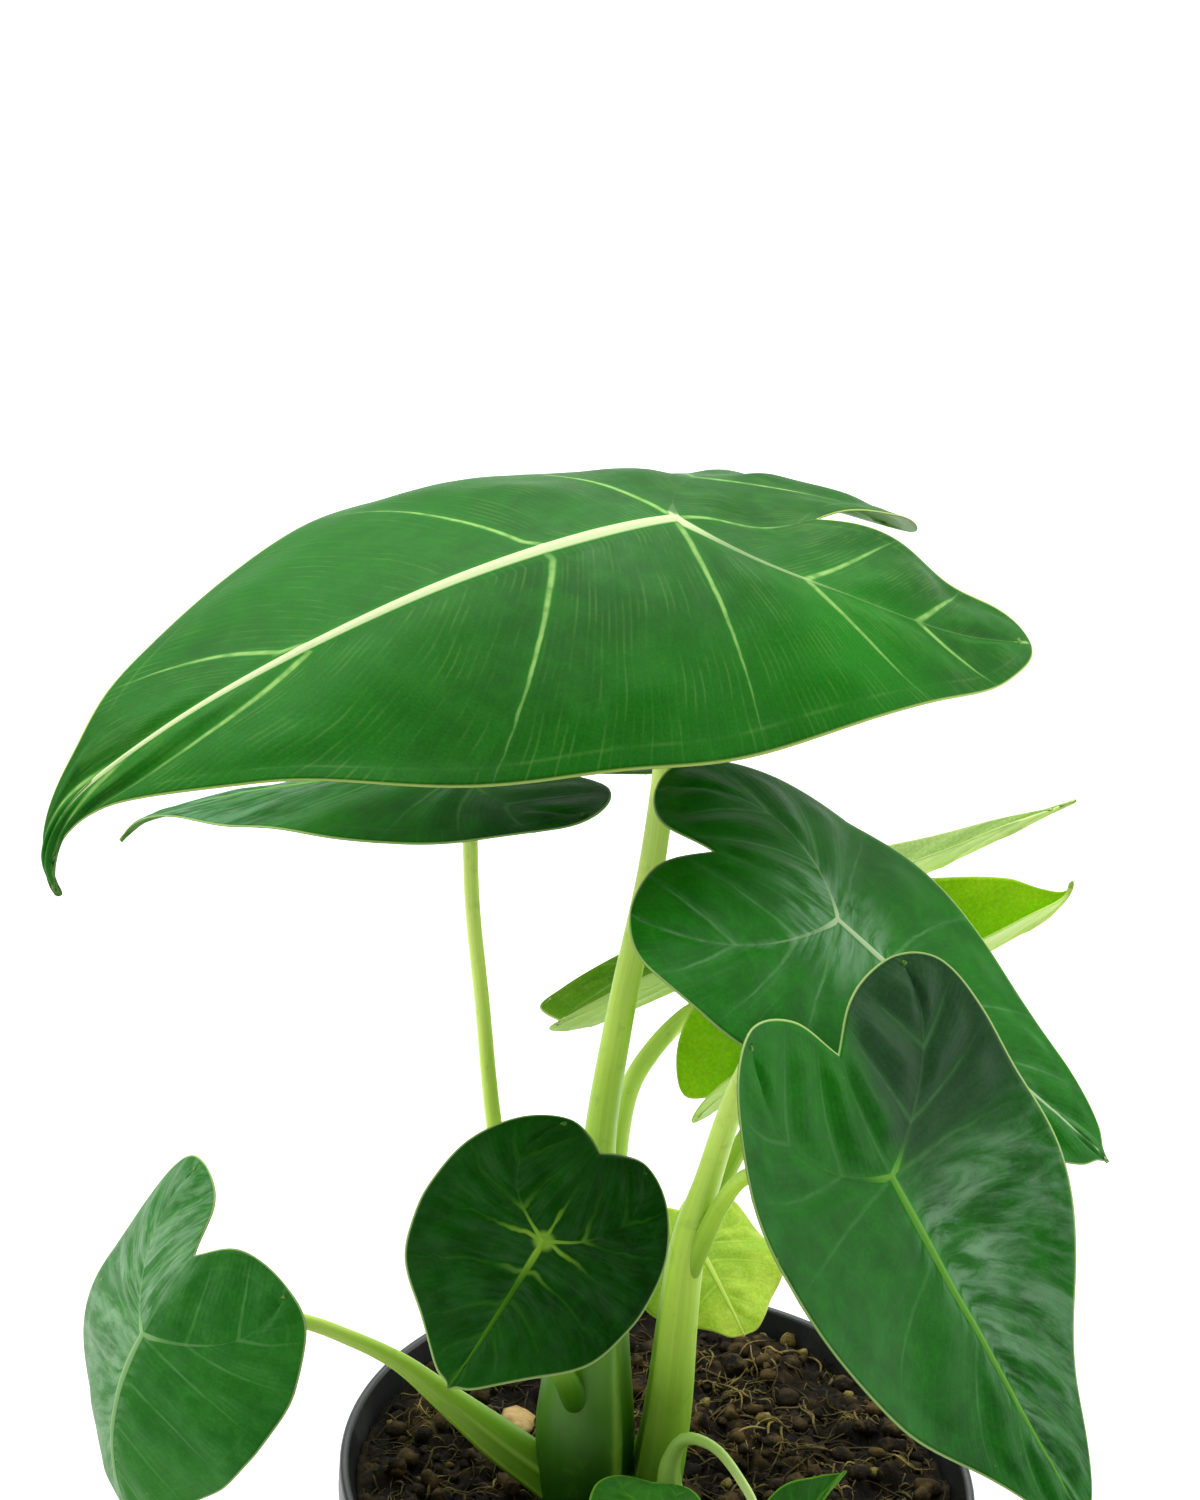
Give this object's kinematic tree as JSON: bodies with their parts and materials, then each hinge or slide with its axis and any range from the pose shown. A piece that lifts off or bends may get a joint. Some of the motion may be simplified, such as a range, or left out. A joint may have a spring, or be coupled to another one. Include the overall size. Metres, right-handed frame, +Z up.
{
  "type": "potted frydek alocasia",
  "caption": "Potted alocasia with dark velvety arrow-shaped leaves and pale veins, on slim green stalks rising from soil in a round plastic nursery pot.",
  "frame": {"origin": "middle of the pot's flat base, on the surface that it stands on", "axes": "+Z up along the pot's axis; the side that the plant is seen from faces -Y; the large top leaf points towards -X"},
  "size_m": [0.1968, 0.185, 0.3204],
  "materials": {
    "pot_plastic": "satin",
    "soil": "matte",
    "leaf_mature": "satin",
    "leaf_young": "satin",
    "leaf_old": "satin",
    "stalk": "satin"
  },
  "bodies": {
    "root": {"pot": "pot_plastic", "soil": "soil", "stalks": "stalk", "offset_stalks": "stalk", "blade_top": "leaf_mature", "blade_second": "leaf_mature", "blade_right": "leaf_mature", "blade_front": "leaf_mature", "blade_round": "leaf_mature", "blade_left": "leaf_mature", "blade_young_folded": "leaf_young", "blade_young_open": "leaf_young", "blade_old": "leaf_old", "blade_offset_front": "leaf_young", "blade_offset_right": "leaf_young"}
  },
  "joints": []
}
